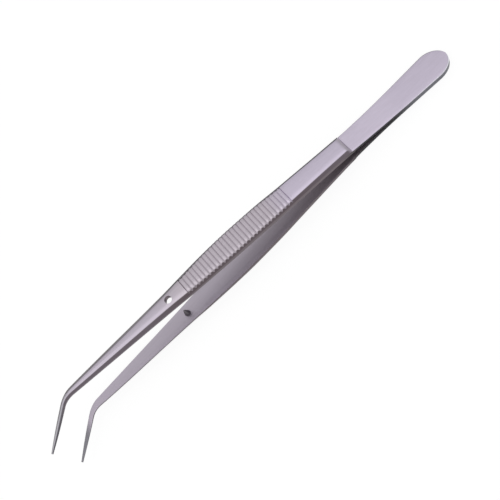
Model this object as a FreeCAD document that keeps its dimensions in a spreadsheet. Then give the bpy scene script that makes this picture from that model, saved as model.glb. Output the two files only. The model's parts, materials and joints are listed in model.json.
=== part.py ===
import FreeCAD, Part
import math
import os
import Sketcher

V = FreeCAD.Vector
Rotation = FreeCAD.Rotation
Placement = FreeCAD.Placement

# Driving sizes of the forceps, in millimetres and degrees.
# Lengths run along the arm from the round head end to the tips.
# A gap is half the opening between the arms, from the middle plane to an inner face.
SIZES = {
    # Lengths
    "head_end_length": 5.6,
    "weld_length": 17.7,
    "spring_length": 19.5,
    "shank_length": 21.2,
    "ridge_count": 29,
    "ridge_pitch": 1.28,
    "hole_distance": 5.3,
    "jaw_length": 35.7,
    "tip_length": 13.2,
    # Widths
    "head_width": 8.5,
    "weld_width": 7.6,
    "waist_width": 6.35,
    "grip_start_width": 6.95,
    "grip_width": 7.25,
    "grip_end_width": 6.2,
    "jaw_width": 5.6,
    "bend_width": 2.3,
    "tip_width": 1.5,
    "nib_width": 0.5,
    # Gaps
    "waist_gap": 1.2,
    "grip_start_gap": 3.15,
    "grip_gap": 4.75,
    "grip_end_gap": 5.7,
    "bend_gap": 7.6,
    "tip_gap": 8.2,
    # Thicknesses
    "plate_thickness": 1.05,
    "grip_thickness": 1.9,
    "bend_thickness": 1.2,
    "nib_thickness": 0.5,
    # Bevels along the outer face
    "shank_bevel": 0.72,
    "grip_bevel": 0.27,
    "jaw_bevel": 0.72,
    "bend_bevel": 0.5,
    "nib_bevel": 0.14,
    # Bend of the tips, towards +Y
    "bend_radius": 7.0,
    "bend_angle": 40.4,
    # Shoulder where the spring plate is ground down from the shank
    "shoulder_radius": 1.3,
    # Ridges across the grips, with crests a little below the smooth face
    "ridge_depth": 0.3,
    "crest_depth": 0.05,
    # Guide pin and the hole that it enters
    "hole_diameter": 2.2,
    "pin_clearance": 0.2,
    "pin_height": 2.8,
    "pin_end_diameter": 0.6,
    "pin_taper_length": 2.5,
    "pin_inset": 0.06,
}

# Stock left on the blank, and ground or cut away
OVERHANG = 1.5
GRIND_STOCK = 0.25
CUT_ROOM = 6.0

# Sections along the curved stretches
GRIP_STEPS = 6
BEND_STEPS = 4
TIP_STEPS = 4


def size_sheet(doc):
    sheet = doc.addObject("Spreadsheet::Sheet", "sizes")
    for row, (alias, value) in enumerate(SIZES.items(), start=1):
        sheet.set("A%d" % row, alias)
        sheet.set("B%d" % row, str(value))
        sheet.setAlias("B%d" % row, alias)
    doc.recompute()
    return sheet


def size(alias):
    return "sizes." + alias


def total(*terms):
    return "(" + " + ".join(terms) + ")"


def between(first, last, share):
    return "(%s + (%s - %s) * %s)" % (first, last, first, share)


# Places along the arm, as sums of the lengths before them
HEAD_AT = size("head_end_length")
WELD_AT = size("weld_length")
WAIST_AT = total(WELD_AT, size("spring_length"))
GRIP_START_AT = total(WAIST_AT, size("shank_length"))
GRIP_LENGTH = "(sizes.ridge_count * sizes.ridge_pitch)"
GRIP_AT = total(GRIP_START_AT, GRIP_LENGTH + " / 2")
GRIP_END_AT = total(GRIP_START_AT, GRIP_LENGTH)
JAW_AT = total(GRIP_END_AT, size("hole_distance"))
BEND_AT = total(JAW_AT, size("jaw_length"))

PIN_DIAMETER = "(sizes.hole_diameter - 2 * sizes.pin_clearance)"


def curve(first, middle, last, share):
    """A value on the parabola through three values, at a share of the way from first to last."""
    return "(%s * %s + %s * %s + %s * %s)" % (
        first, (1 - share) * (1 - 2 * share), middle, 4 * share * (1 - share),
        last, share * (2 * share - 1))


def taper(place):
    """Thickness at a place in front of the grips' middle, thinning evenly to the bend."""
    share = "((%s - %s) / (%s - %s))" % (place, GRIP_AT, BEND_AT, GRIP_AT)
    return between(size("grip_thickness"), size("bend_thickness"), share)


def head_stations():
    """The head and spring: widths narrow to the waist, and the gap opens from the weld."""
    thick = size("grip_thickness")
    stock = "(0 - %s)" % GRIND_STOCK
    head_thick = total(thick, str(GRIND_STOCK))
    stations = [("-%s" % OVERHANG, size("head_width"), stock, head_thick, size("shank_bevel")),
                (HEAD_AT, size("head_width"), stock, head_thick, size("shank_bevel"))]
    for share in (0.5, 1.0):
        stations.append((between(HEAD_AT, WELD_AT, str(share)),
                         between(size("head_width"), size("weld_width"), str(share)),
                         "(%s * %s)" % (stock, 1 - share), head_thick, size("shank_bevel")))
    for share in (0.33, 0.67, 1.0):
        opened = 0.25 * share + 0.75 * share ** 2
        narrowed = 1.35 * share - 0.35 * share ** 2
        stations.append((between(WELD_AT, WAIST_AT, str(share)),
                         between(size("weld_width"), size("waist_width"), str(narrowed)),
                         "(sizes.waist_gap * %s)" % opened, thick, size("shank_bevel")))
    return stations


def grip_stations():
    """The bowed grips, swelling to their middle."""
    stations = []
    for step in range(GRIP_STEPS + 1):
        share = step / GRIP_STEPS
        place = between(GRIP_START_AT, GRIP_END_AT, str(share))
        width = curve(size("grip_start_width"), size("grip_width"), size("grip_end_width"), share)
        gap = curve(size("grip_start_gap"), size("grip_gap"), size("grip_end_gap"), share)
        bevel = curve(size("shank_bevel"), size("grip_bevel"), size("jaw_bevel"), share)
        thickness = taper(place) if share > 0.5 else size("grip_thickness")
        stations.append((place, width, gap, thickness, bevel))
    return stations


def jaw_stations():
    """The straight, smooth front between the grips and the bend."""
    share = "((%s - %s) / (%s - %s))" % (JAW_AT, GRIP_END_AT, BEND_AT, GRIP_END_AT)
    gap = between(size("grip_end_gap"), size("bend_gap"), share)
    return [(JAW_AT, size("jaw_width"), gap, taper(JAW_AT), size("jaw_bevel")),
            (BEND_AT, size("bend_width"), size("bend_gap"), taper(BEND_AT), size("bend_bevel"))]


def tip_stations():
    """Sections round the bend and along the tip: share of the bend, distance past it, and sizes."""
    arc = "(sizes.bend_radius * sizes.bend_angle * %s)" % math.radians(1.0)
    bend = [(step / BEND_STEPS, 0.0) for step in range(1, BEND_STEPS + 1)]
    tip = [(1.0, step / TIP_STEPS) for step in range(1, TIP_STEPS + 1)]
    stations = []
    for turned, past in bend + tip:
        run = "(%s * %s + sizes.tip_length * %s)" % (arc, turned, past)
        share = "(%s / (%s + sizes.tip_length))" % (run, arc)
        if past == 0.0:
            width = between(size("bend_width"), size("tip_width"), str(turned))
        else:
            width = between(size("tip_width"), size("nib_width"), str(past ** 2))
        gap = between(size("bend_gap"), size("tip_gap"), share)
        thickness = between(size("bend_thickness"), size("nib_thickness"), share)
        bevel = between(size("bend_bevel"), size("nib_bevel"), share)
        stations.append((turned, past, width, gap, thickness, bevel))
    return stations


def origin_plane(body, role):
    return next(plane for plane in body.Origin.OriginFeatures if plane.Role == role)


def attached_sketch(body, role, name):
    sketch = body.newObject("Sketcher::SketchObject", name)
    sketch.AttachmentSupport = [(origin_plane(body, role), "")]
    sketch.MapMode = "FlatFace"
    return sketch


def bevelled_section(body, name, width, thickness, bevel):
    """A bar's cross-section: inner face on the X axis, and the two outer corners bevelled."""
    sketch = attached_sketch(body, "YZ_Plane", name)
    half, inset, low, high = 1.5, 1.0, 0.5, 1.0
    corners = [V(-half, 0, 0), V(half, 0, 0), V(half, low, 0), V(inset, high, 0), V(-inset, high, 0),
               V(-half, low, 0)]
    for index, corner in enumerate(corners):
        sketch.addGeometry(Part.LineSegment(corner, corners[(index + 1) % 6]))
    for index in range(6):
        sketch.addConstraint(Sketcher.Constraint("Coincident", index, 2, (index + 1) % 6, 1))
    sketch.addConstraint(Sketcher.Constraint("PointOnObject", 0, 1, -1))
    sketch.addConstraint(Sketcher.Constraint("Symmetric", 0, 1, 0, 2, -2))
    sketch.addConstraint(Sketcher.Constraint("Symmetric", 3, 1, 3, 2, -2))
    sketch.addConstraint(Sketcher.Constraint("Vertical", 1))
    sketch.addConstraint(Sketcher.Constraint("Vertical", 5))
    driven = [
        ("width", Sketcher.Constraint("DistanceX", 0, 1, 0, 2, 2 * half), width),
        ("thickness", Sketcher.Constraint("DistanceY", 0, 1, 4, 1, high), thickness),
        ("bevel_across", Sketcher.Constraint("DistanceX", 3, 1, 1, 2, half - inset), bevel),
        ("bevel_down", Sketcher.Constraint("DistanceY", 1, 2, 3, 1, high - low), bevel),
        ("bevel_level", Sketcher.Constraint("DistanceY", 5, 1, 4, 1, high - low), bevel),
    ]
    for label, constraint, expression in driven:
        index = sketch.addConstraint(constraint)
        sketch.renameConstraint(index, label)
        sketch.setExpression("Constraints." + label, expression)
    return sketch


def place_section(sketch, side, along, across, gap, turn):
    """The lower arm's sections are rolled half a turn, so its inner face looks up."""
    roll = Rotation(V(0, 0, 1), 0 if side > 0 else 180)
    sketch.AttachmentOffset = Placement(V(0, 0, 0), Rotation(V(0, 1, 0), turn) * roll)
    sketch.setExpression(".AttachmentOffset.Base.x", across)
    sketch.setExpression(".AttachmentOffset.Base.y", gap if side > 0 else "(0 - %s)" % gap)
    sketch.setExpression(".AttachmentOffset.Base.z", along)


def blank_sections(body, side, sheet):
    """The forged blank's sections, straight to the bend and then turned towards +Y."""
    sketches = []
    straight = head_stations() + grip_stations() + jaw_stations()
    for index, (along, width, gap, thickness, bevel) in enumerate(straight):
        sketch = bevelled_section(body, "section_%d" % index, width, thickness, bevel)
        place_section(sketch, side, along, "0", gap, 0.0)
        sketches.append(sketch)
    for index, (turned, past, width, gap, thickness, bevel) in enumerate(tip_stations()):
        sketch = bevelled_section(body, "tip_section_%d" % index, width, thickness, bevel)
        turn = "(sizes.bend_angle * %s deg)" % turned
        run = "sizes.tip_length * %s" % past
        along = "(%s + sizes.bend_radius * sin(%s) + %s * cos(%s))" % (BEND_AT, turn, run, turn)
        across = "(sizes.bend_radius * (1 - cos(%s)) + %s * sin(%s))" % (turn, run, turn)
        place_section(sketch, side, along, across, gap, sheet.get("bend_angle") * turned)
        sketches.append(sketch)
    return sketches


def blank(body, side, sheet):
    sketches = blank_sections(body, side, sheet)
    loft = body.newObject("PartDesign::AdditiveLoft", "blank")
    loft.Profile = sketches[0]
    loft.Sections = sketches[1:]
    loft.Ruled = True
    for sketch in sketches:
        sketch.Visibility = False
    return loft


def side_sketch(body, name, side):
    """A sketch on the length's upright plane, with its Y axis away from the middle plane."""
    sketch = attached_sketch(body, "XZ_Plane", name)
    sketch.AttachmentOffset = Placement(V(0, 0, 0), Rotation(V(1, 0, 0), 0 if side > 0 else 180))
    return sketch


def add_outline(sketch, points):
    for first, last in zip(points, points[1:] + points[:1]):
        sketch.addGeometry(Part.LineSegment(first, last))


def cut_through(body, sheet, sketch, name):
    """Cuts the sketch's outline straight through the arm, to both sides of the sketch."""
    pocket = body.newObject("PartDesign::Pocket", name)
    pocket.Profile = sketch
    pocket.Type = "Length"
    pocket.Length = 2 * (sheet.get("tip_gap") + sheet.get("head_width"))
    pocket.Midplane = True
    pocket.Refine = False
    return pocket


def places(sheet):
    """The places along the arm as numbers, for the cuts that follow the blank's faces."""
    weld = sheet.get("weld_length")
    waist = weld + sheet.get("spring_length")
    grip_start = waist + sheet.get("shank_length")
    grip_end = grip_start + sheet.get("ridge_count") * sheet.get("ridge_pitch")
    hole = grip_end + sheet.get("hole_distance")
    bend = hole + sheet.get("jaw_length")
    return {"weld": weld, "waist": waist, "grip_start": grip_start, "grip_end": grip_end,
            "hole": hole, "bend": bend}


def faces_at(shape, along, across=0.0):
    """Heights of the blank's inner and outer face at a place, measured away from the middle."""
    probe = Part.makeLine(V(along, across, -50), V(along, across, 50))
    heights = [abs(vertex.Z) for vertex in shape.common(probe).Vertexes]
    return min(heights), max(heights)


def head_end_cut(body, side, sheet):
    """Rounds the head's end to half an ellipse as wide as the head."""
    length = sheet.get("head_end_length")
    half = sheet.get("head_width") / 2
    out = half + CUT_ROOM
    sketch = attached_sketch(body, "XY_Plane", "head_end_outline")
    oval = Part.Ellipse(V(0, 0, 0), V(length, -half, 0), V(length, 0, 0))
    sketch.addGeometry(Part.ArcOfEllipse(oval, -math.pi / 2, math.pi / 2))
    rim = [V(length, -half, 0), V(length, -out, 0), V(-CUT_ROOM, -out, 0), V(-CUT_ROOM, out, 0),
           V(length, out, 0), V(length, half, 0)]
    for first, last in zip(rim, rim[1:]):
        sketch.addGeometry(Part.LineSegment(first, last))
    cut_through(body, sheet, sketch, "head_end")


def weld_face_cut(body, side, sheet):
    """Grinds the head's inner face flat, where the two arms are welded together."""
    sketch = side_sketch(body, "weld_face_outline", side)
    far = places(sheet)["waist"]
    add_outline(sketch, [V(-CUT_ROOM, -CUT_ROOM, 0), V(far, -CUT_ROOM, 0), V(far, 0, 0),
                         V(-CUT_ROOM, 0, 0)])
    cut_through(body, sheet, sketch, "weld_face")


def spring_cut(body, side, sheet, shape):
    """Grinds the outer face down to the spring plate, up to a rounded shoulder at the waist."""
    at = places(sheet)
    plate = sheet.get("plate_thickness")
    radius = sheet.get("shoulder_radius")
    inner, outer = faces_at(shape, at["waist"])
    middle_at = (at["weld"] + at["waist"]) / 2
    middle = faces_at(shape, middle_at)[0] + plate
    foot = V(at["waist"], inner + plate, 0)
    top = outer + sheet.get("crest_depth")
    rise = top - foot.y
    start = math.acos(min(1.0, (radius - rise) / radius)) if rise < radius else math.pi / 2
    centre = V(foot.x + radius * math.sin(start), top - radius, 0)
    half_way = V(centre.x - radius * math.sin(start / 2), centre.y + radius * math.cos(start / 2), 0)
    crest = V(centre.x, top, 0)
    roof = top + CUT_ROOM
    sketch = side_sketch(body, "spring_outline", side)
    sketch.addGeometry(Part.LineSegment(V(-CUT_ROOM, plate, 0), V(at["weld"], plate, 0)))
    sketch.addGeometry(Part.Arc(V(at["weld"], plate, 0), V(middle_at, middle, 0), foot))
    sketch.addGeometry(Part.Arc(foot, half_way, crest))
    rim = [crest, V(crest.x, roof, 0), V(-CUT_ROOM, roof, 0), V(-CUT_ROOM, plate, 0)]
    for first, last in zip(rim, rim[1:]):
        sketch.addGeometry(Part.LineSegment(first, last))
    cut_through(body, sheet, sketch, "spring")


def ridge_cut(body, side, sheet, shape):
    """Rolls the ridges across the grip: rounded crests that meet in sharp valleys."""
    at = places(sheet)
    pitch = sheet.get("ridge_pitch")
    crest_depth = sheet.get("crest_depth")
    valley_depth = crest_depth + sheet.get("ridge_depth")
    count = int(sheet.get("ridge_count"))
    sketch = side_sketch(body, "ridge_outline", side)
    valleys = []
    for index in range(count + 1):
        along = at["grip_start"] + index * pitch
        valleys.append(V(along, faces_at(shape, along)[1] - valley_depth, 0))
    for first, last in zip(valleys, valleys[1:]):
        along = (first.x + last.x) / 2
        crest = V(along, faces_at(shape, along)[1] - crest_depth, 0)
        sketch.addGeometry(Part.Arc(first, crest, last))
    roof = max(valley.y for valley in valleys) + CUT_ROOM
    lean = sheet.get("ridge_depth")
    rim = [valleys[-1], V(valleys[-1].x + lean, roof, 0), V(valleys[0].x - lean, roof, 0), valleys[0]]
    for first, last in zip(rim, rim[1:]):
        sketch.addGeometry(Part.LineSegment(first, last))
    cut_through(body, sheet, sketch, "ridges")


def bore(body, sheet, name, diameter):
    """A round hole through the arm at the guide pin's place."""
    sketch = attached_sketch(body, "XY_Plane", name + "_outline")
    sketch.addGeometry(Part.Circle(V(places(sheet)["hole"], 0, 0), V(0, 0, 1), 1.0))
    radius = sketch.addConstraint(Sketcher.Constraint("Diameter", 0, 2.0))
    sketch.renameConstraint(radius, "diameter")
    sketch.setExpression("Constraints.diameter", diameter)
    level = sketch.addConstraint(Sketcher.Constraint("PointOnObject", 0, 3, -1))
    along = sketch.addConstraint(Sketcher.Constraint("DistanceX", -1, 1, 0, 3, places(sheet)["hole"]))
    sketch.renameConstraint(along, "along")
    sketch.setExpression("Constraints.along", JAW_AT)
    cut_through(body, sheet, sketch, name)


def arm(doc, sheet, name, side):
    """One forged arm: side 1 is the upper arm with the guide hole, side -1 carries the pin."""
    body = doc.addObject("PartDesign::Body", name)
    body.Label = name
    blank(body, side, sheet)
    doc.recompute()
    shape = body.Shape.copy()
    steps = [
        lambda: head_end_cut(body, side, sheet),
        lambda: weld_face_cut(body, side, sheet),
        lambda: spring_cut(body, side, sheet, shape),
        lambda: ridge_cut(body, side, sheet, shape),
    ]
    if side > 0:
        steps.append(lambda: bore(body, sheet, "guide_hole", size("hole_diameter")))
    else:
        steps.append(lambda: bore(body, sheet, "pin_seat", PIN_DIAMETER))
    for step in steps:
        before = body.Shape.Volume
        step()
        doc.recompute()
        if not body.Shape.Volume < before:
            raise RuntimeError("a cut removed nothing from " + name)
    return body, shape


def guide_pin(doc, sheet, lower_blank):
    """A turned pin, pressed through the lower arm, with a tapered and rounded free end."""
    body = doc.addObject("PartDesign::Body", "guide_pin")
    body.Label = "guide_pin"
    radius = sheet.get("hole_diameter") / 2 - sheet.get("pin_clearance")
    end = sheet.get("pin_end_diameter") / 2
    along = places(sheet)["hole"]
    inner, outer = faces_at(lower_blank, along)
    foot = -outer + sheet.get("pin_inset")
    top = -inner + sheet.get("pin_height")
    cone_foot = top - sheet.get("pin_taper_length")
    sketch = attached_sketch(body, "XZ_Plane", "pin_outline")
    cap = V(end * math.cos(math.pi / 4), top - end + end * math.sin(math.pi / 4), 0)
    sketch.addGeometry(Part.LineSegment(V(0, foot, 0), V(radius, foot, 0)))
    sketch.addGeometry(Part.LineSegment(V(radius, foot, 0), V(radius, cone_foot, 0)))
    sketch.addGeometry(Part.LineSegment(V(radius, cone_foot, 0), V(end, top - end, 0)))
    sketch.addGeometry(Part.Arc(V(end, top - end, 0), cap, V(0, top, 0)))
    sketch.addGeometry(Part.LineSegment(V(0, top, 0), V(0, foot, 0)))
    turned = body.newObject("PartDesign::Revolution", "turned")
    turned.Profile = sketch
    turned.ReferenceAxis = (sketch, ["V_Axis"])
    turned.Angle = 360.0
    sketch.AttachmentOffset = Placement(V(along, 0, 0), Rotation())
    sketch.setExpression(".AttachmentOffset.Base.x", JAW_AT)
    doc.recompute()
    return body


def lie_at_rest(bodies, lower, sheet):
    """Turns the forceps so that the lower arm lies on its head's end and its grip."""
    plate = sheet.get("plate_thickness")
    weld = sheet.get("weld_length")
    points = [point for edge in lower.Shape.Edges for point in edge.discretize(12)]
    slopes = [math.atan2(-point.z - plate, point.x) for point in points if point.x > weld]
    tilt = math.degrees(max(slopes))
    turn = Placement(V(0, 0, 0), Rotation(V(0, 1, 0), -tilt))
    turned = []
    for body in bodies:
        copy = body.Shape.copy()
        copy.transformShape(turn.toMatrix())
        turned.append(copy)
    box = Part.makeCompound(turned).optimalBoundingBox(True)
    shift = V(-(box.XMin + box.XMax) / 2, -(box.YMin + box.YMax) / 2, -box.ZMin)
    for body in bodies:
        body.Placement = Placement(shift, turn.Rotation)


def check(doc, bodies):
    for item in doc.Objects:
        if "Invalid" in item.State or "Error" in item.State:
            raise RuntimeError("%s failed: %s" % (item.Name, item.State))
    for body in bodies:
        if body.Shape.isNull() or not body.Shape.isValid() or len(body.Shape.Solids) != 1:
            raise RuntimeError(body.Label + " has no valid solid")


def main():
    doc = FreeCAD.newDocument("forceps")
    sheet = size_sheet(doc)
    upper, _ = arm(doc, sheet, "upper_arm", 1)
    lower, lower_blank = arm(doc, sheet, "lower_arm", -1)
    pin = guide_pin(doc, sheet, lower_blank)
    bodies = [upper, lower, pin]
    lie_at_rest(bodies, lower, sheet)
    doc.recompute()
    check(doc, bodies)
    os.makedirs("parts", exist_ok=True)
    for body in bodies:
        body.Shape.exportStep("parts/%s.step" % body.Label)
        box = body.Shape.BoundBox
        print(body.Label, "volume %.1f" % body.Shape.Volume, "x %.2f..%.2f" % (box.XMin, box.XMax),
              "y %.2f..%.2f" % (box.YMin, box.YMax), "z %.2f..%.2f" % (box.ZMin, box.ZMax))


main()
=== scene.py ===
import json
import math

import bmesh
import bpy
from bpy.props import FloatProperty, FloatVectorProperty, PointerProperty
from mathutils import Matrix, Vector


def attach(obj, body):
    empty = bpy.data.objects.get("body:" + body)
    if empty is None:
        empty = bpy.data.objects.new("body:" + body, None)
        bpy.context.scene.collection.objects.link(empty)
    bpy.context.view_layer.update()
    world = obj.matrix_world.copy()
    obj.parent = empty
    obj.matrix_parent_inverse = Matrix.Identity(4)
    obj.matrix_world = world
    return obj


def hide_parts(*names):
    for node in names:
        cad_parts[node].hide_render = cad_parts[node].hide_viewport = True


bl_info = {
    "name": "Thumb Forceps",
    "version": (1, 0, 0),
    "blender": (4, 5, 0),
    "location": "View3D > Sidebar > Forceps",
    "description": "Dresses a pair of angled thumb forceps in satin steel and sets it on a pale floor",
    "category": "Object",
}

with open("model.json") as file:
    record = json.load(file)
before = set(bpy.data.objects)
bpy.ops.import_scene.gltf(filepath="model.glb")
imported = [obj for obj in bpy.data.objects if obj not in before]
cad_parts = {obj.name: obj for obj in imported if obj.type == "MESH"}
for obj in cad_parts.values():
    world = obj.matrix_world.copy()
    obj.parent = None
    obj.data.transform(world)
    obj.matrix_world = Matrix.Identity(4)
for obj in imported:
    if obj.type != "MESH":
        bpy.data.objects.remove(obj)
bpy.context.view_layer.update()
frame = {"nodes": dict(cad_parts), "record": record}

MM = 0.001
BLACK = (0.0, 0.0, 0.0)
WHITE = (1.0, 1.0, 1.0)

# Places along an arm's middle line, in millimetres from the round head end
HEAD_ROUND = 5.6
WELD_END = 17.7
WAIST = 37.2
PLATE_THIRD = WELD_END + (WAIST - WELD_END) * 0.33
PLATE_TWO_THIRDS = WELD_END + (WAIST - WELD_END) * 0.67
SHANK_START = WAIST + 3.0
GRIP_START = 58.4
RIDGE_COUNT = 29
RIDGE_PITCH = 1.28
GRIP_END = GRIP_START + RIDGE_COUNT * RIDGE_PITCH
GRIP_MIDDLE = (GRIP_START + GRIP_END) / 2
GRIP_QUARTER = (GRIP_START + GRIP_MIDDLE) / 2
GRIP_LAST_QUARTER = (GRIP_MIDDLE + GRIP_END) / 2
HOLE_PLACE = GRIP_END + 5.3
BEND_START = HOLE_PLACE + 35.6
BEND_RADIUS = 7.0
BEND_TURN = math.radians(40.7)
BEND_END = BEND_START + BEND_RADIUS * BEND_TURN
TIP_LENGTH = 12.7
TIP_END = BEND_END + TIP_LENGTH
TEETH_START = TIP_END - 11.0
TEETH_END = TIP_END - 0.3

# Sizes along the arm as (place, size) in millimetres
HEAD_HALF_WIDTH = 4.25
WIDTHS = (
    (HEAD_ROUND, 2 * HEAD_HALF_WIDTH), (WELD_END, 7.6), (PLATE_THIRD, 7.09), (PLATE_TWO_THIRDS, 6.666),
    (WAIST, 6.35), (GRIP_START, 6.95), (GRIP_QUARTER, 7.25), (GRIP_MIDDLE, 7.24),
    (GRIP_LAST_QUARTER, 6.87), (GRIP_END, 6.2), (HOLE_PLACE, 5.6), (BEND_START, 2.3), (BEND_END, 1.4),
    (BEND_END + TIP_LENGTH * 0.25, 1.34), (BEND_END + TIP_LENGTH * 0.5, 1.18),
    (BEND_END + TIP_LENGTH * 0.75, 0.90), (TIP_END, 0.5))
HALF_GAPS = (
    (WELD_END, 0.0), (PLATE_THIRD, 0.197), (PLATE_TWO_THIRDS, 0.605), (WAIST, 1.2), (GRIP_START, 3.15),
    (GRIP_QUARTER, 4.02), (GRIP_MIDDLE, 4.74), (GRIP_LAST_QUARTER, 5.29), (GRIP_END, 5.7),
    (HOLE_PLACE, 5.946), (BEND_START, 7.58), (TIP_END, 7.9))
THICKNESSES = (
    (WAIST, 2.06), (GRIP_START, 2.10), (GRIP_MIDDLE, 2.04), (GRIP_END, 1.80), (HOLE_PLACE, 1.70),
    (BEND_START, 1.18), (TIP_END, 0.45))
BACK_BEVELS = (
    (WAIST, 0.72), (SHANK_START, 0.62), (GRIP_START, 0.60), (GRIP_QUARTER, 0.40), (GRIP_MIDDLE, 0.34),
    (GRIP_LAST_QUARTER, 0.42), (GRIP_END, 0.74), (HOLE_PLACE, 0.82), (BEND_START - 10.0, 0.78),
    (BEND_START, 0.60), (TIP_END, 0.14))
FRONT_BEVELS = (
    (WAIST, 0.85), (GRIP_START, 0.74), (GRIP_QUARTER, 0.68), (GRIP_MIDDLE, 0.64),
    (GRIP_LAST_QUARTER, 0.74), (GRIP_END, 0.82), (HOLE_PLACE, 0.92), (BEND_START, 0.6),
    (BEND_END + 3.0, 0.5), (TIP_END, 0.18))

# The least that is bevelled off the outer rims: the head's, then the spring plates'
LEAST_BEVELS = ((1.0, 0.24), (HEAD_ROUND, 0.15), (WELD_END, 0.09))

# How far the outer face falls from its middle to its rims, and the power that it falls by
CROWNS = (
    (WAIST, 0.05), (SHANK_START, 0.11), (GRIP_START, 0.10), (GRIP_QUARTER, 0.05), (GRIP_MIDDLE, 0.05),
    (GRIP_END, 0.12), (HOLE_PLACE, 0.14), (BEND_START, 0.10), (TIP_END, 0.04))
CROWN_POWERS = (
    (WAIST, 12.0), (SHANK_START, 6.0), (GRIP_START, 6.0), (GRIP_MIDDLE, 4.5), (GRIP_END, 4.0),
    (HOLE_PLACE, 4.0), (BEND_START, 3.4), (TIP_END, 2.4))

# Where an arm's half width is less than this, its crown is lower in proportion
FULL_CROWN_HALF_WIDTH = 2.0

# Other sizes in millimetres; the head's end leans toward the side that the tips bend to
HEAD_LEAN = 0.16
PLATE_THICKNESS = 1.05
SHANK_THICKNESS = 2.06
SHOULDER_RADIUS = 1.3
HOLE_RADIUS = 1.1
PIN_RADIUS = 0.9
DRILL_LENGTH = 40.0
DRILL_SIDES = 48

# How far a bevel's corners are rounded: at most this, and at most this share of the bevel
LOW_ROUND = 0.12
LOW_ROUND_SHARE = 0.3
FRONT_ROUND = 0.3
BACK_ROUND = 0.22
HIGH_ROUND_SHARE = 0.5

# The inner faces' small corners; where an arm is narrow, they and the bevels take at most these
# shares of its half width
INNER_EDGE = 0.08
INNER_EDGE_SHARE = 0.2
BEVEL_SHARE = 0.66

# The ridges' valleys deepen toward the rims by this power of the way across, and widen there
RUN_OUT_POWER = 7
RIM_SHARPNESS = 2.0

# A section's points: along the inner face, up each side, and across the crowned outer face
INNER_POINTS = 5
OUTER_POINTS = 11
CORNER_POINTS = 4
RING = INNER_POINTS + OUTER_POINTS + 6 * CORNER_POINTS

# The sections' spacing: in degrees round the head's end, then in millimetres along the arm
HEAD_ANGLES = range(3, 90, 4)
PLAIN_STEP = 1.5
SHOULDER_STEP = 0.08
BEND_STEP = 0.35
TIP_STEP = 0.4

# Sections on a ridge as shares of its pitch, on a tooth, and at the ends of the grips and the tips
RIDGE_SHARES = (0.0, 0.04, 0.09, 0.15, 0.25, 0.375, 0.5, 0.625, 0.75, 0.85, 0.91, 0.96)
SECTIONS_PER_TOOTH = 4
GRIP_END_STEPS = (0.08, 0.25)
LAST_STEPS = (0.12, 0.06, 0.0)

# Edges turned by more than this are shaded as sharp
SHARP_ANGLE = math.radians(32.0)

# The scene's lower grip reaches this far below the solids, in millimetres, so the floor lies lower
FLOOR_DROP = 0.2

# Where things lie from the head's end, in millimetres: the part's origin, and its head's mounts
ORIGIN_PLACE = 75.7
MOUNT_PLACE = 10.0

# These masks choose, by the way each face turns, where painted shade and the head's painted highlight
# go
# Masks over an arm's faces, as the normal's value where one is empty and where it is full.
# Outward is 0 on the inner face and 1 on the outer one, and across is 0 on both and 1 on a side.
OUTER_OUTWARD = (0.60, 0.70)
INNER_OUTWARD = (0.27, 0.18)
# Where the head's rim and end take their painted highlight
GLINT_OUTWARD = (0.97, 0.91)
BEVEL_ACROSS = (0.36, 0.58)
BACK_SHADE_ACROSS = (0.18, 0.38)

# Brush marks per metre, along the arm and across it
BRUSH_SCALE = (60.0, 2600.0, 2600.0)
BRUSH_DETAIL = 3.0

# The camera looks down on the forceps from beyond its open side, with the tips at the lower left
CAMERA_PLACE = Vector((-21.363, 121.039, 235.525)) * MM
CAMERA_LOOK = Vector((0.0816, -0.46828, -0.8798))
CAMERA_UP = Vector((-0.71125, -0.64574, 0.27773))
CAMERA_LENS = 68.377
CAMERA_CLIP = 0.01

# The lamp hangs over the forceps, a little to the side that the tips bend to
LAMP_AIM = Vector((0.0, 0.0, 0.01))
LAMP_DIRECTION = Vector((0.0, 0.05, 1.0)).normalized()


def colour(name, description, default):
    """A colour that the panel shows."""
    return FloatVectorProperty(name=name, description=description, subtype="COLOR", size=3,
                               min=0.0, max=1.0, default=default)


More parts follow.
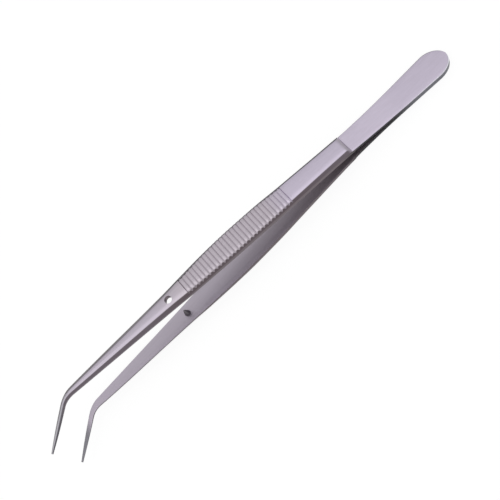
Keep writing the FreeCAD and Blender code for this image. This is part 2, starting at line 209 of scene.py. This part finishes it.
class ForcepsFinish(bpy.types.PropertyGroup):
    """Colours and grain of the steel, with painted shade and a painted highlight among the colours"""

    face_colour: colour("Face colour", "Satin outer faces", (0.585, 0.53, 0.64))
    plate_colour: colour(
        "Plate colour", "Spring plates near the shoulder", (0.635, 0.575, 0.69))
    # Painted highlight: a bright glint painted on the head's rim and bevels, standing in for light
    # caught there
    glint_colour: colour("Rim colour", "Polished rim of the head", (0.84, 0.83, 0.90))
    # Painted shade: a dark line painted at the foot of the shoulder, where shade falls in the step
    shoulder_shade_colour: colour(
        "Shoulder colour", "Foot of the shoulder, where grime stays", (0.40, 0.365, 0.41))
    grip_colour: colour("Grip colour", "Outer faces of the grips", (0.53, 0.48, 0.53))
    jaw_colour: colour("Jaw colour", "Outer faces of the jaws", (0.505, 0.46, 0.53))
    tip_colour: colour("Tip colour", "Outer faces of the tips", (0.38, 0.37, 0.40))
    # Painted shade between the arms: the inner faces are painted darkest at the waist, where the arms
    # lie closest, and lighter at the bend
    waist_shade_colour: colour("Waist colour", "Darker inner faces near the waist", (0.31, 0.275, 0.30))
    inner_shade_colour: colour("Inner face colour", "Duller faces between the arms", (0.46, 0.42, 0.48))
    near_tip_colour: colour(
        "Near tip colour", "Brighter inner faces at the bend", (0.485, 0.44, 0.51))
    tip_inner_colour: colour(
        "Tip inner colour", "Toothed inner faces of the tips", (0.25, 0.245, 0.27))
    # Painted shade: the sides and bevels are painted dark where they turn away from the light, and the
    # spring plates' sides nearly black for the shadow in the gap between them
    head_side_shade_colour: colour(
        "Head side colour", "Ground edge round the welded head", (0.14, 0.14, 0.16))
    spring_side_shade_colour: colour(
        "Spring side colour", "Darker edge of the thin spring plates", (0.015, 0.015, 0.017))
    grip_side_shade_colour: colour(
        "Grip side colour", "Darker sides beside the grips", (0.148, 0.120, 0.132))
    side_shade_colour: colour("Side colour", "Dark ground sides and bevels", (0.185, 0.157, 0.18))
    tip_side_shade_colour: colour("Tip side colour", "Darker sides of the tips", (0.12, 0.115, 0.13))
    # Painted shade: the back edges, away from the bend, are painted nearly black
    back_shade_colour: colour(
        "Back edge colour", "Darker edges on the side away from the bend", (0.012, 0.010, 0.012))
    jaw_back_shade_colour: colour(
        "Jaw back edge colour", "Edges of the jaws on the side away from the bend",
        (0.12, 0.105, 0.11))
    # Painted reflection: the pin is painted dark for the dark surroundings that it reflects
    pin_shade_colour: colour("Pin colour", "Turned guide pin", (0.16, 0.15, 0.16))
    roughness: FloatProperty(
        name="Roughness", description="How matt the satin finish is", min=0.0, max=1.0, default=0.36)
    inner_roughness: FloatProperty(
        name="Inner roughness", description="How much more matt the inner faces are", min=0.0, max=0.5,
        default=0.08)
    pin_roughness: FloatProperty(
        name="Pin roughness", description="How matt the guide pin is", min=0.0, max=1.0, default=0.35)
    brush_tone: FloatProperty(
        name="Brush tone", description="How far the brush marks differ in brightness", min=0.0,
        max=1.0, default=0.16)
    brush_roughness: FloatProperty(
        name="Brush roughness", description="How far the brush marks differ in roughness", min=0.0,
        max=0.5, default=0.10)
    pin_tone: FloatProperty(
        name="Pin tone", description="How far the pin's turning marks differ in brightness", min=0.0,
        max=1.0, default=0.3)


class ForcepsDetail(bpy.types.PropertyGroup):
    """Ridges of the grips and teeth of the tips"""

    ridge_depth: FloatProperty(
        name="Ridge depth", description="From a grip ridge's crest to its valley, in millimetres",
        default=0.20, min=0.0, max=0.4)
    ridge_run_out: FloatProperty(
        name="Ridge run-out", description="How much deeper the valleys are at the rims, in millimetres",
        default=0.28, min=0.0, max=0.4)
    ridge_sharpness: FloatProperty(
        name="Ridge sharpness", description="Higher is a flatter crest and a narrower valley",
        default=3.6, min=1.0, max=12.0)
    tooth_pitch: FloatProperty(
        name="Tooth pitch", description="Spacing of the fine teeth inside the tips, in millimetres",
        default=0.6, min=0.2)
    tooth_depth: FloatProperty(
        name="Tooth depth", description="Depth of the fine teeth inside the tips, in millimetres",
        default=0.05, min=0.0, max=0.3)


class ForcepsStage(bpy.types.PropertyGroup):
    """Floor, lamp and world"""

    floor_size: FloatProperty(
        name="Floor size", description="Side of the square floor", unit="LENGTH", default=6.0, min=0.5)
    floor_colour: colour("Floor colour", "Matt paint of the floor", (0.85, 0.85, 0.85))
    floor_glow: FloatProperty(
        name="Floor glow", description="How bright the floor's glow is to the camera and in the steel",
        default=1.06, min=0.0)
    floor_glow_share: FloatProperty(
        name="Floor glow share", description="Share of glow over paint; the rest shows the shadow",
        default=0.84, min=0.0, max=1.0)
    lamp_distance: FloatProperty(
        name="Lamp distance", description="From the forceps to the lamp", unit="LENGTH", default=0.6,
        min=0.1)
    lamp_size: FloatProperty(
        name="Lamp size", description="Side of the square lamp", unit="LENGTH", default=0.6, min=0.05)
    lamp_power: FloatProperty(
        name="Lamp power", description="Power of the lamp", unit="POWER", default=0.66, min=0.0)
    world_strength: FloatProperty(
        name="World strength", description="Light from all round, as the object sees it", default=0.75,
        min=0.0, max=1.0)


def new_material(name):
    """An empty material and its node tree."""
    material = bpy.data.materials.new(name)
    material.use_nodes = True
    material.node_tree.nodes.clear()
    return material, material.node_tree


def feed(tree, socket, value):
    """Link a socket from another one, or set it to a number or a colour."""
    if isinstance(value, bpy.types.NodeSocket):
        tree.links.new(value, socket)
    elif isinstance(value, (int, float)):
        socket.default_value = value
    else:
        socket.default_value = (*value, 1.0)


def combine(tree, operation, *values):
    """A Math node of up to three values, each a socket or a number."""
    node = tree.nodes.new("ShaderNodeMath")
    node.operation = operation
    for socket, value in zip(node.inputs, values):
        feed(tree, socket, value)
    return node.outputs["Value"]


def blend(tree, factor, first, second, kind="MIX"):
    """A colour mix; each input is a socket, a number or a colour."""
    node = tree.nodes.new("ShaderNodeMix")
    node.data_type = "RGBA"
    node.blend_type = kind
    for key, value in (("Factor", factor), ("A", first), ("B", second)):
        feed(tree, node.inputs[key], value)
    return node.outputs["Result"]


def ramp(tree, value, stops):
    """A colour that changes with a value: stops of (position, colour)."""
    node = tree.nodes.new("ShaderNodeValToRGB")
    elements = node.color_ramp.elements
    while len(elements) < len(stops):
        elements.new(0.5)
    for element, (position, shade) in zip(elements, stops):
        element.position = position
        element.color = (*shade, 1.0)
    tree.links.new(value, node.inputs["Fac"])
    return node.outputs["Color"]


def mask(tree, value, limits):
    """A share from 0 to 1, for a value's limits of (empty, full)."""
    empty, full = limits
    return ramp(tree, value, sorted(((empty, BLACK), (full, WHITE))))


def object_parts(tree, kind):
    """The parts X, Y and Z of the place or the normal, on the object's own axes."""
    source = tree.nodes.new("ShaderNodeTexCoord")
    parts = tree.nodes.new("ShaderNodeSeparateXYZ")
    tree.links.new(source.outputs[kind], parts.inputs["Vector"])
    return parts.outputs


def along_arm(tree, stops):
    """A colour that changes along the arm: stops of (millimetres from the head's end, colour)."""
    first, last = stops[0][0], stops[-1][0]
    share = tree.nodes.new("ShaderNodeMapRange")
    share.inputs["From Min"].default_value = (first - ORIGIN_PLACE) * MM
    share.inputs["From Max"].default_value = (last - ORIGIN_PLACE) * MM
    tree.links.new(object_parts(tree, "Object")["X"], share.inputs["Value"])
    return ramp(tree, share.outputs["Result"],
                [((place - first) / (last - first), shade) for place, shade in stops])


def brush_marks(tree):
    """Fine marks drawn out along the arms: values about one half."""
    place = tree.nodes.new("ShaderNodeTexCoord")
    stretch = tree.nodes.new("ShaderNodeMapping")
    stretch.inputs["Scale"].default_value = BRUSH_SCALE
    tree.links.new(place.outputs["Object"], stretch.inputs["Vector"])
    noise = tree.nodes.new("ShaderNodeTexNoise")
    noise.inputs["Scale"].default_value = 1.0
    noise.inputs["Detail"].default_value = BRUSH_DETAIL
    tree.links.new(stretch.outputs["Vector"], noise.inputs["Vector"])
    return noise.outputs["Fac"]


def marked(tree, marks, middle, span):
    """A number that the brush marks vary evenly about its middle value."""
    return combine(tree, "MULTIPLY_ADD", marks, span, middle - span / 2)


def new_metal(name):
    """A bare metal: its material, node tree and shader."""
    material, tree = new_material(name)
    output = tree.nodes.new("ShaderNodeOutputMaterial")
    shader = tree.nodes.new("ShaderNodeBsdfPrincipled")
    shader.inputs["Metallic"].default_value = 1.0
    tree.links.new(shader.outputs["BSDF"], output.inputs["Surface"])
    return material, tree, shader


def face_colours(tree, finish):
    """Colours along the arm of its outer faces, of its inner faces and of its back edges; painted shade
    darkens the shoulder's foot, the faces between the arms and the back edges.
    """
    outer = along_arm(tree, (
        (0.0, finish.face_colour), (WELD_END - 2.0, finish.face_colour),
        (WELD_END + 7.0, finish.plate_colour), (WAIST - 0.1, finish.plate_colour),
        # The foot of the shoulder gets a thin line of painted shade
        (WAIST, finish.shoulder_shade_colour), (WAIST + 0.4, finish.shoulder_shade_colour),
        (WAIST + 0.9, finish.face_colour), (GRIP_START - 2.0, finish.face_colour),
        (GRIP_START + 6.0, finish.grip_colour), (GRIP_END, finish.grip_colour),
        (HOLE_PLACE + 4.0, finish.jaw_colour), (BEND_START - 3.0, finish.jaw_colour),
        (BEND_END, finish.tip_colour), (TIP_END, finish.tip_colour)))
    # Inner faces: painted shade between the arms, darkest near the waist
    inner = along_arm(tree, (
        (0.0, finish.waist_shade_colour), (WAIST + 4.0, finish.waist_shade_colour),
        (GRIP_END - 3.5, finish.inner_shade_colour), (BEND_START, finish.near_tip_colour),
        (BEND_END + 0.5, finish.near_tip_colour), (BEND_END + 3.5, finish.tip_inner_colour),
        (TIP_END, finish.tip_inner_colour)))
    # Back edges: painted shade
    back = along_arm(tree, (
        (0.0, finish.back_shade_colour), (GRIP_END, finish.back_shade_colour),
        (HOLE_PLACE + 6.0, finish.jaw_back_shade_colour), (TIP_END, finish.jaw_back_shade_colour)))
    return outer, inner, back


def edge_colours(tree, finish):
    """Colours along the arm of its sides and of its bevels, which are alike from the grips on: painted
    shade, with a painted highlight on the head's bevels.
    """
    # Sides and bevels: painted shade, and on the head's bevels a painted highlight
    jaw = (
        (GRIP_END, finish.grip_side_shade_colour), (HOLE_PLACE + 8.0, finish.side_shade_colour),
        (BEND_START, finish.side_shade_colour), (BEND_END + 4.0, finish.tip_side_shade_colour),
        (TIP_END, finish.tip_side_shade_colour))
    sides = along_arm(tree, (
        (0.0, finish.head_side_shade_colour), (WELD_END - 3.7, finish.head_side_shade_colour),
        (WELD_END + 5.3, finish.spring_side_shade_colour), (WAIST - 3.2, finish.spring_side_shade_colour),
        (WAIST + 3.8, finish.grip_side_shade_colour)) + jaw)
    bevels = along_arm(tree, (
        (0.0, finish.glint_colour), (WELD_END - 4.7, finish.glint_colour),
        (WELD_END + 4.3, finish.face_colour), (WAIST - 0.5, finish.face_colour),
        (WAIST + 0.5, finish.side_shade_colour), (GRIP_START, finish.grip_side_shade_colour)) + jaw)
    return sides, bevels


def steel(name, side, finish):
    """Satin steel, whose light and shade are painted by the way each face turns. Outer faces are
    brightest, inner faces darker with painted shade, bevels and sides dark with painted shade, and the
    head's rim has a painted highlight.
    """
    material, tree, shader = new_metal(name)
    outer, inner, back = face_colours(tree, finish)
    sides, bevels = edge_colours(tree, finish)

    normal = object_parts(tree, "Normal")
    outward = combine(tree, "MULTIPLY_ADD", normal["Z"], 0.5 * side, 0.5)
    across = combine(tree, "ABSOLUTE", normal["Y"])
    backward = combine(tree, "MULTIPLY", normal["Y"], -1.0)
    on_bevel = mask(tree, across, BEVEL_ACROSS)
    on_outer = mask(tree, outward, OUTER_OUTWARD)
    on_inner = mask(tree, outward, INNER_OUTWARD)
    on_back_shade = mask(tree, backward, BACK_SHADE_ACROSS)
    # The head's rim and its round end get a painted highlight
    on_head = along_arm(tree, ((0.0, WHITE), (WELD_END - 4.0, WHITE), (WELD_END + 4.0, BLACK)))
    on_glint = combine(tree, "MULTIPLY", mask(tree, outward, GLINT_OUTWARD), on_head)

    # Bevels and sides take painted shade, the head's rim a painted highlight, and the back edges darker
    # painted shade
    outer = blend(tree, on_bevel, outer, bevels)
    outer = blend(tree, on_glint, outer, bevels)
    inner = blend(tree, on_bevel, inner, sides)
    shade = blend(tree, on_outer, sides, outer)
    shade = blend(tree, on_inner, shade, inner)
    shade = blend(tree, on_back_shade, shade, back)

    marks = brush_marks(tree)
    tone = marked(tree, marks, 1.0, finish.brush_tone)
    rough = marked(tree, marks, finish.roughness, finish.brush_roughness)
    feed(tree, shader.inputs["Base Color"], blend(tree, 1.0, shade, tone, "MULTIPLY"))
    feed(tree, shader.inputs["Roughness"],
         combine(tree, "MULTIPLY_ADD", on_inner, finish.inner_roughness, rough))
    return material


def turned_steel(name, finish):
    """Turned steel of the guide pin, painted dark as a painted reflection of the dark surroundings that
    it reflects.
    """
    material, tree, shader = new_metal(name)
    tone = marked(tree, brush_marks(tree), 1.0, finish.pin_tone)
    feed(tree, shader.inputs["Base Color"], blend(tree, 1.0, finish.pin_shade_colour, tone, "MULTIPLY"))
    feed(tree, shader.inputs["Roughness"], finish.pin_roughness)
    return material


def smooth_value(knots, place):
    """The size at a place, on a smooth curve through (place, size) knots that never overshoots."""
    if place <= knots[0][0]:
        return knots[0][1]
    if place >= knots[-1][0]:
        return knots[-1][1]
    index = next(i for i in range(len(knots) - 1) if place <= knots[i + 1][0])
    rises = [(b[1] - a[1]) / (b[0] - a[0]) for a, b in zip(knots, knots[1:])]

    def slope(knot):
        if knot in (0, len(knots) - 1):
            return rises[min(knot, len(rises) - 1)]
        before, after = rises[knot - 1], rises[knot]
        if before * after <= 0.0:
            return 0.0
        return 2.0 * before * after / (before + after)

    (start, low), (end, high) = knots[index], knots[index + 1]
    run = end - start
    t = (place - start) / run
    return ((2 * t ** 3 - 3 * t ** 2 + 1) * low + (t ** 3 - 2 * t ** 2 + t) * run * slope(index)
            + (3 * t ** 2 - 2 * t ** 3) * high + (t ** 3 - t ** 2) * run * slope(index + 1))


def spread(start, end, step):
    """Evenly spaced places from start up to, but not at, end."""
    count = max(1, round((end - start) / step))
    return [start + (end - start) * i / count for i in range(count)]


def stations(detail):
    """Places of the sections along the arm, close together where the form changes fast."""
    places = [HEAD_ROUND * (1 - math.cos(math.radians(angle))) for angle in HEAD_ANGLES]
    places += spread(HEAD_ROUND, WAIST, PLAIN_STEP)
    places += spread(WAIST, WAIST + SHOULDER_RADIUS, SHOULDER_STEP)
    places += spread(WAIST + SHOULDER_RADIUS, GRIP_START, PLAIN_STEP)
    for ridge in range(RIDGE_COUNT):
        places += [GRIP_START + (ridge + share) * RIDGE_PITCH for share in RIDGE_SHARES]
    for step in GRIP_END_STEPS:
        places += [GRIP_START - step, GRIP_END + step]
    places += spread(GRIP_END, BEND_START, PLAIN_STEP)
    places += spread(BEND_START, BEND_END, BEND_STEP)
    places += spread(BEND_END, TEETH_START, TIP_STEP)
    places += spread(TEETH_START, TIP_END, detail.tooth_pitch / SECTIONS_PER_TOOTH)
    places += [TIP_END - step for step in LAST_STEPS]
    return sorted(set(round(place, 5) for place in places))


def ridge_drop(place, across, detail):
    """How far a grip's outer face lies below the blank: deepest in the valleys and at the rims."""
    if not GRIP_START <= place <= GRIP_END:
        return 0.0
    share = (place - GRIP_START) / RIDGE_PITCH % 1.0
    from_crest = abs(2.0 * share - 1.0)
    run_out = abs(across) ** RUN_OUT_POWER
    sharpness = detail.ridge_sharpness * (1 - run_out) + RIM_SHARPNESS * run_out
    return (detail.ridge_depth + detail.ridge_run_out * run_out) * from_crest ** sharpness


def tooth_drop(place, detail):
    """How far the inner face is cut back by the fine teeth inside the tips."""
    if not TEETH_START < place < TEETH_END:
        return 0.0
    share = (place - TEETH_START) / detail.tooth_pitch % 1.0
    return detail.tooth_depth * (1.0 - abs(2.0 * share - 1.0))


def half_width(place):
    """Half the arm's width, which is round at the head's end."""
    if place < HEAD_ROUND:
        return HEAD_HALF_WIDTH * math.sqrt(1 - ((HEAD_ROUND - place) / HEAD_ROUND) ** 2)
    return smooth_value(WIDTHS, place) / 2


def blank_height(place):
    """Height of the outer face above the inner one: plate, rounded shoulder, then the full bar."""
    if place < WAIST:
        return PLATE_THICKNESS
    thickness = smooth_value(THICKNESSES, place)
    rise = SHANK_THICKNESS - PLATE_THICKNESS
    reach = math.sqrt(SHOULDER_RADIUS ** 2 - (SHOULDER_RADIUS - rise) ** 2)
    if place < WAIST + reach:
        back = WAIST + reach - place
        return thickness - SHOULDER_RADIUS + math.sqrt(SHOULDER_RADIUS ** 2 - back ** 2)
    return thickness


def rounded_corner(before, corner, after):
    """Points round a corner, on the curve that touches both of its sides."""
    points = []
    for i in range(CORNER_POINTS):
        t = i / (CORNER_POINTS - 1)
        points.append(before * (1 - t) ** 2 + corner * 2 * t * (1 - t) + after * t ** 2)
    return points


def side_points(half, floor, rim, bevel, high_round):
    """Points up one side: a small inner corner, the side, the bevel's two corners."""
    bevel = min(bevel, half * BEVEL_SHARE)
    edge = min(INNER_EDGE, half * INNER_EDGE_SHARE)
    low_round = min(LOW_ROUND, bevel * LOW_ROUND_SHARE)
    high_round = min(high_round, bevel * HIGH_ROUND_SHARE)
    foot = Vector((half, floor))
    shoulder = Vector((half, rim - bevel))
    brow = Vector((half - bevel, rim))
    slant = Vector((-1.0, 1.0)).normalized()
    return (rounded_corner(foot - Vector((edge, 0)), foot, foot + Vector((0, edge)))
            + rounded_corner(shoulder - Vector((0, low_round)), shoulder, shoulder + slant * low_round)
            + rounded_corner(brow - slant * high_round, brow, brow - Vector((high_round, 0))))


def section(place, detail):
    """The arm's cross-section as points of (across, height), anticlockwise from the inner face."""
    half = half_width(place)
    top = blank_height(place)
    crown = smooth_value(CROWNS, place) * min(1.0, half / FULL_CROWN_HALF_WIDTH)
    power = smooth_value(CROWN_POWERS, place)
    rim = top - crown - ridge_drop(place, 1.0, detail)
    floor = tooth_drop(place, detail)

    # The bevels belong to the full bar, so less of them is left where its rims are cut lower
    below = smooth_value(THICKNESSES, place) - crown - rim
    least = smooth_value(LEAST_BEVELS, place)
    front_bevel = max(smooth_value(FRONT_BEVELS, place) - below, least)
    back_bevel = max(smooth_value(BACK_BEVELS, place) - below, least)
    front = side_points(half, floor, rim, front_bevel, FRONT_ROUND)
    back = side_points(half, floor, rim, back_bevel, BACK_ROUND)

    first, last = front[0].x, -back[0].x
    inner = []
    for i in range(INNER_POINTS):
        inner.append(Vector((last + (first - last) * i / (INNER_POINTS - 1), floor)))
    middle = (front[-1].x - back[-1].x) / 2
    reach = (front[-1].x + back[-1].x) / 2
    outer = []
    for i in range(OUTER_POINTS):
        share = math.cos(math.pi * (i + 1) / (OUTER_POINTS + 1))
        height = top - crown * abs(share) ** power - ridge_drop(place, share, detail)
        outer.append(Vector((middle + reach * share, height)))
    points = inner + front + outer + [Vector((-point.x, point.y)) for point in reversed(back)]
    lean = HEAD_LEAN * max(0.0, 1 - place / HEAD_ROUND) ** 2
    return [point + Vector((lean, 0.0)) for point in points]


def plan_point(place):
    """The middle line's point seen from above, and its heading."""
    if place <= BEND_START:
        return Vector((place, 0.0)), 0.0
    turn = min((place - BEND_START) / BEND_RADIUS, BEND_TURN)
    point = Vector((BEND_START + BEND_RADIUS * math.sin(turn), BEND_RADIUS * (1 - math.cos(turn))))
    past = max(0.0, place - BEND_END)
    return point + Vector((math.cos(turn), math.sin(turn))) * past, turn


def rest_turn():
    """From the forceps' own middle plane to where it lies: read from the head's upper face."""
    mount = next(m for m in frame["record"]["mounts"] if m["name"] == "upper_head_face")
    axis = Vector(mount["axis"])
    tilt = Matrix.Rotation(math.atan2(axis.x, axis.z), 4, "Y")
    head = Vector((MOUNT_PLACE, 0.0, PLATE_THICKNESS)) * MM
    return Matrix.Translation(Vector(mount["pos_m"])) @ tilt @ Matrix.Translation(-head)


def straight_bar(ring, rings):
    """A straight bar along X with its rings one unit apart."""
    shape = bmesh.new()
    made = bmesh.ops.create_circle(shape, segments=ring, radius=1.0)
    upright = Matrix.Rotation(math.radians(90.0), 3, "Y")
    bmesh.ops.rotate(shape, verts=made["verts"], matrix=upright)
    bmesh.ops.spin(shape, geom=shape.verts[:] + shape.edges[:], angle=0.0, steps=rings - 1,
                   axis=(1.0, 0.0, 0.0), cent=(0.0, 0.0, 0.0), dvec=(1.0, 0.0, 0.0))
    return shape


def arm_shape(side, detail):
    """A straight bar whose rings are moved to the arm's sections, bowed and bent."""
    places = stations(detail)
    shape = straight_bar(RING, len(places))
    sections = [section(place, detail) for place in places]
    middles = [plan_point(place) for place in places]
    gaps = [smooth_value(HALF_GAPS, place) for place in places]
    for vertex in shape.verts:
        station = round(vertex.co.x)
        spoke = round(math.atan2(vertex.co.z, vertex.co.y) / math.tau * RING) % RING
        across, height = sections[station][spoke]
        middle, turn = middles[station]
        vertex.co = Vector((middle.x - across * math.sin(turn), middle.y + across * math.cos(turn),
                            side * (gaps[station] + height))) * MM
    rims = [edge for edge in shape.edges if edge.is_boundary]
    bmesh.ops.holes_fill(shape, edges=rims, sides=RING)
    bmesh.ops.recalc_face_normals(shape, faces=shape.faces)
    return shape


def drill_shape(radius):
    """A rod across both arms at the guide pin's place."""
    shape = bmesh.new()
    bmesh.ops.create_cone(shape, segments=DRILL_SIDES, radius1=radius * MM, radius2=radius * MM,
                          depth=DRILL_LENGTH * MM, cap_ends=True)
    bmesh.ops.translate(shape, verts=shape.verts, vec=Vector((HOLE_PLACE, 0.0, 0.0)) * MM)
    return shape


def new_object(name, shape):
    """An object in the scene with a bmesh's shape."""
    mesh = bpy.data.meshes.new(name)
    shape.to_mesh(mesh)
    shape.free()
    piece = bpy.data.objects.new(name, mesh)
    bpy.context.collection.objects.link(piece)
    return piece


def drilled(name, shape, radius):
    """The arm's mesh with a round hole through it."""
    arm = new_object(name, shape)
    rod = new_object(name + "_drill", drill_shape(radius))
    cut = arm.modifiers.new("hole", "BOOLEAN")
    cut.operation = "DIFFERENCE"
    cut.solver = "EXACT"
    cut.object = rod
    arm.data = bpy.data.meshes.new_from_object(arm.evaluated_get(bpy.context.evaluated_depsgraph_get()))
    arm.modifiers.clear()
    bpy.data.objects.remove(rod)
    return arm


def dressed_arm(node, side, radius, detail):
    """An arm where it lies, smooth but for its sharp edges, in place of its CAD node."""
    arm = drilled(node + "_forged", arm_shape(side, detail), radius)
    arm.data.transform(rest_turn())
    arm.data.polygons.foreach_set("use_smooth", [True] * len(arm.data.polygons))
    arm.data.set_sharp_from_angle(angle=SHARP_ANGLE)
    even = arm.modifiers.new("even_shading", "WEIGHTED_NORMAL")
    even.keep_sharp = True
    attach(arm, "root")
    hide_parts(node)
    return arm


class FORCEPS_OT_arms(bpy.types.Operator):
    """Forge both arms: plate, shoulder, ridged grip, jaw and bent tip"""
    bl_idname = "forceps.arms"
    bl_label = "Forge Arms"

    def execute(self, context):
        finish = context.scene.forceps_finish
        detail = context.scene.forceps_detail
        for node, side, radius in (("upper_arm", 1, HOLE_RADIUS), ("lower_arm", -1, PIN_RADIUS)):
            arm = dressed_arm(node, side, radius, detail)
            arm.data.materials.append(steel(node + "_steel", side, finish))
        return {"FINISHED"}


class FORCEPS_OT_pin(bpy.types.Operator):
    """Give the guide pin its turned steel, painted dark as a painted reflection"""
    bl_idname = "forceps.pin"
    bl_label = "Dress Guide Pin"

    def execute(self, context):
        node = frame["nodes"]["guide_pin"]
        node.material_slots[0].material = turned_steel("pin_steel", context.scene.forceps_finish)
        return {"FINISHED"}


def floor_paint(stage):
    """Matt paint that glows white to the camera and in reflections, and keeps a faint shadow."""
    material, tree = new_material("floor_white")
    output = tree.nodes.new("ShaderNodeOutputMaterial")
    paint = tree.nodes.new("ShaderNodeBsdfDiffuse")
    feed(tree, paint.inputs["Color"], stage.floor_colour)
    glow = tree.nodes.new("ShaderNodeEmission")
    feed(tree, glow.inputs["Strength"], stage.floor_glow)
    rays = tree.nodes.new("ShaderNodeLightPath").outputs
    seen = combine(tree, "MAXIMUM", rays["Is Camera Ray"], rays["Is Glossy Ray"])
    seen = combine(tree, "MAXIMUM", seen, rays["Is Transmission Ray"])
    mix = tree.nodes.new("ShaderNodeMixShader")
    feed(tree, mix.inputs["Fac"], combine(tree, "MULTIPLY", seen, stage.floor_glow_share))
    tree.links.new(paint.outputs["BSDF"], mix.inputs[1])
    tree.links.new(glow.outputs["Emission"], mix.inputs[2])
    tree.links.new(mix.outputs["Shader"], output.inputs["Surface"])
    return material


def add_floor(stage):
    """A square floor under the forceps."""
    shape = bmesh.new()
    bmesh.ops.create_grid(shape, x_segments=1, y_segments=1, size=stage.floor_size / 2)
    bmesh.ops.translate(shape, verts=shape.verts, vec=Vector((0.0, 0.0, -FLOOR_DROP)) * MM)
    floor = new_object("floor", shape)
    floor.data.materials.append(floor_paint(stage))


def add_lamp(stage):
    """A large soft lamp."""
    data = bpy.data.lights.new("main_lamp", "AREA")
    data.size = stage.lamp_size
    data.energy = stage.lamp_power
    lamp = bpy.data.objects.new("main_lamp", data)
    bpy.context.collection.objects.link(lamp)
    lamp.location = LAMP_AIM + LAMP_DIRECTION * stage.lamp_distance
    lamp.rotation_euler = LAMP_DIRECTION.to_track_quat("Z", "Y").to_euler()


def add_world(stage):
    """A world that is white to the camera and dimmer to the forceps."""
    world = bpy.data.worlds.new("studio")
    world.use_nodes = True
    tree = world.node_tree
    background = tree.nodes["Background"]
    rays = tree.nodes.new("ShaderNodeLightPath").outputs
    strength = combine(tree, "MULTIPLY_ADD", rays["Is Camera Ray"], 1.0 - stage.world_strength,
                       stage.world_strength)
    feed(tree, background.inputs["Color"], WHITE)
    feed(tree, background.inputs["Strength"], strength)
    bpy.context.scene.world = world


def add_camera():
    """The camera at the photograph's viewing angle."""
    data = bpy.data.cameras.new("camera")
    data.lens = CAMERA_LENS
    data.clip_start = CAMERA_CLIP
    camera = bpy.data.objects.new("camera", data)
    bpy.context.collection.objects.link(camera)
    back = -CAMERA_LOOK.normalized()
    right = CAMERA_UP.cross(back).normalized()
    up = back.cross(right)
    turn = Matrix((right, up, back)).transposed()
    camera.matrix_world = Matrix.Translation(CAMERA_PLACE) @ turn.to_4x4()
    bpy.context.scene.camera = camera


class FORCEPS_OT_stage(bpy.types.Operator):
    """Set the floor, the lamp, the world and the camera"""
    bl_idname = "forceps.stage"
    bl_label = "Set Stage"

    def execute(self, context):
        stage = context.scene.forceps_stage
        add_floor(stage)
        add_lamp(stage)
        add_world(stage)
        add_camera()
        context.scene.view_settings.view_transform = "Standard"
        return {"FINISHED"}


class FORCEPS_PT_panel(bpy.types.Panel):
    """Sizes, colours and steps of the forceps"""
    bl_idname = "FORCEPS_PT_panel"
    bl_label = "Thumb Forceps"
    bl_space_type = "VIEW_3D"
    bl_region_type = "UI"
    bl_category = "Forceps"

    def draw(self, context):
        layout = self.layout
        for group in (context.scene.forceps_finish, context.scene.forceps_detail,
                      context.scene.forceps_stage):
            box = layout.box()
            for key in group.__annotations__:
                box.prop(group, key)
        for step in STEPS:
            layout.operator(step.bl_idname)


GROUPS = (ForcepsFinish, ForcepsDetail, ForcepsStage)
STEPS = (FORCEPS_OT_arms, FORCEPS_OT_pin, FORCEPS_OT_stage)
CLASSES = GROUPS + STEPS + (FORCEPS_PT_panel,)


def register():
    for kind in CLASSES:
        bpy.utils.register_class(kind)
    bpy.types.Scene.forceps_finish = PointerProperty(type=ForcepsFinish)
    bpy.types.Scene.forceps_detail = PointerProperty(type=ForcepsDetail)
    bpy.types.Scene.forceps_stage = PointerProperty(type=ForcepsStage)


def unregister():
    del bpy.types.Scene.forceps_stage
    del bpy.types.Scene.forceps_detail
    del bpy.types.Scene.forceps_finish
    for kind in reversed(CLASSES):
        bpy.utils.unregister_class(kind)


def main():
    register()
    bpy.ops.forceps.arms()
    bpy.ops.forceps.pin()
    bpy.ops.forceps.stage()


if __name__ == "__main__":
    main()
